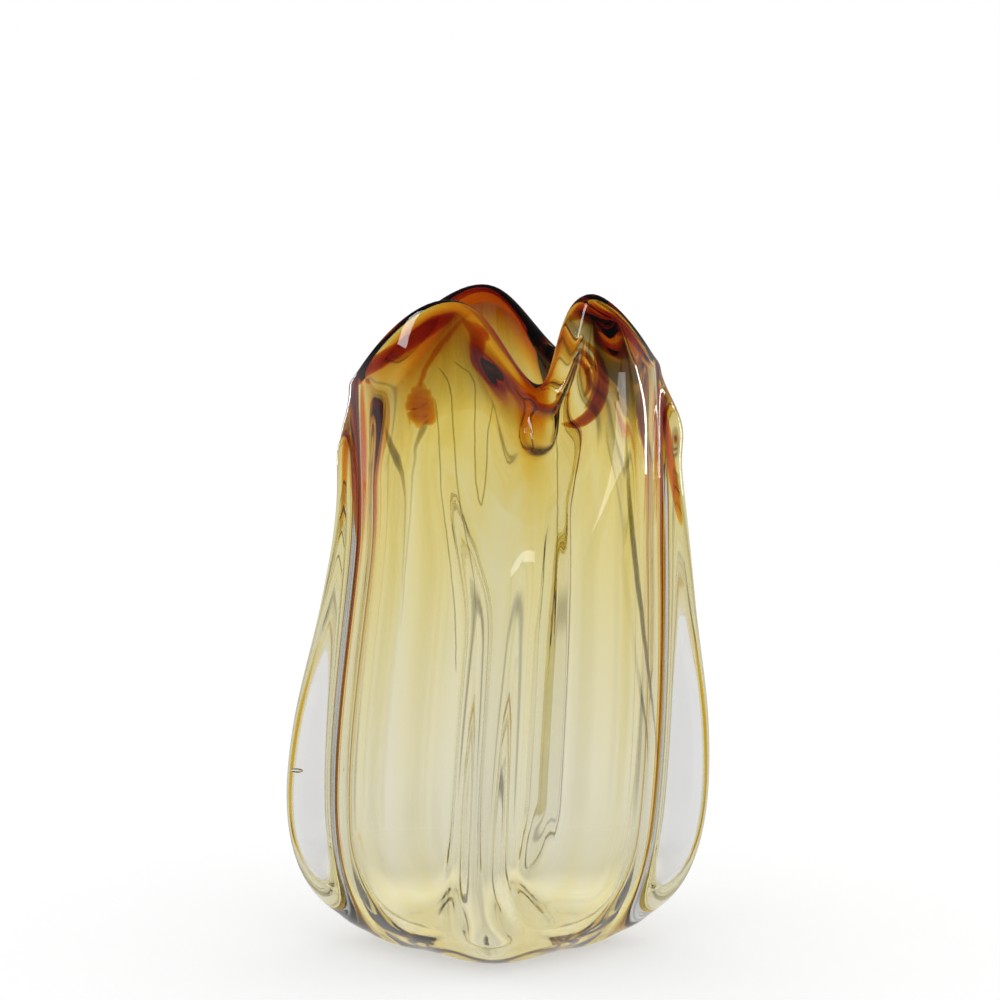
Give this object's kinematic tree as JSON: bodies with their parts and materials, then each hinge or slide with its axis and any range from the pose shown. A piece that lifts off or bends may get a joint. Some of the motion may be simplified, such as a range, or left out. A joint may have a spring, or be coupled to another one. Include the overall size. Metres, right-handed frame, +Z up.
{
  "type": "ribbed glass vase with pinched mouth",
  "caption": "Heavy cased glass vase with an amber lining, clear standing ribs and a wavy pinched mouth with a dark amber lip wrap and a hanging drop",
  "frame": {"origin": "the middle of the overall outline at the height of the ground foot, on the surface that the vase stands on", "axes": "+Z up, +X to the viewer's right, the rib with the hanging drop faces -Y"},
  "size_m": [0.1692, 0.1616, 0.2631],
  "materials": {
    "clear_glass": "fire-polished, very glossy, clear",
    "amber_glass": "fire-polished, transparent honey amber, deeper towards the lip",
    "dark_amber_glass": "fire-polished, transparent red-brown amber"
  },
  "bodies": {
    "root": {"clear_casing": "clear_glass", "amber_lining": "amber_glass", "lip_wrap": "dark_amber_glass"}
  },
  "joints": []
}
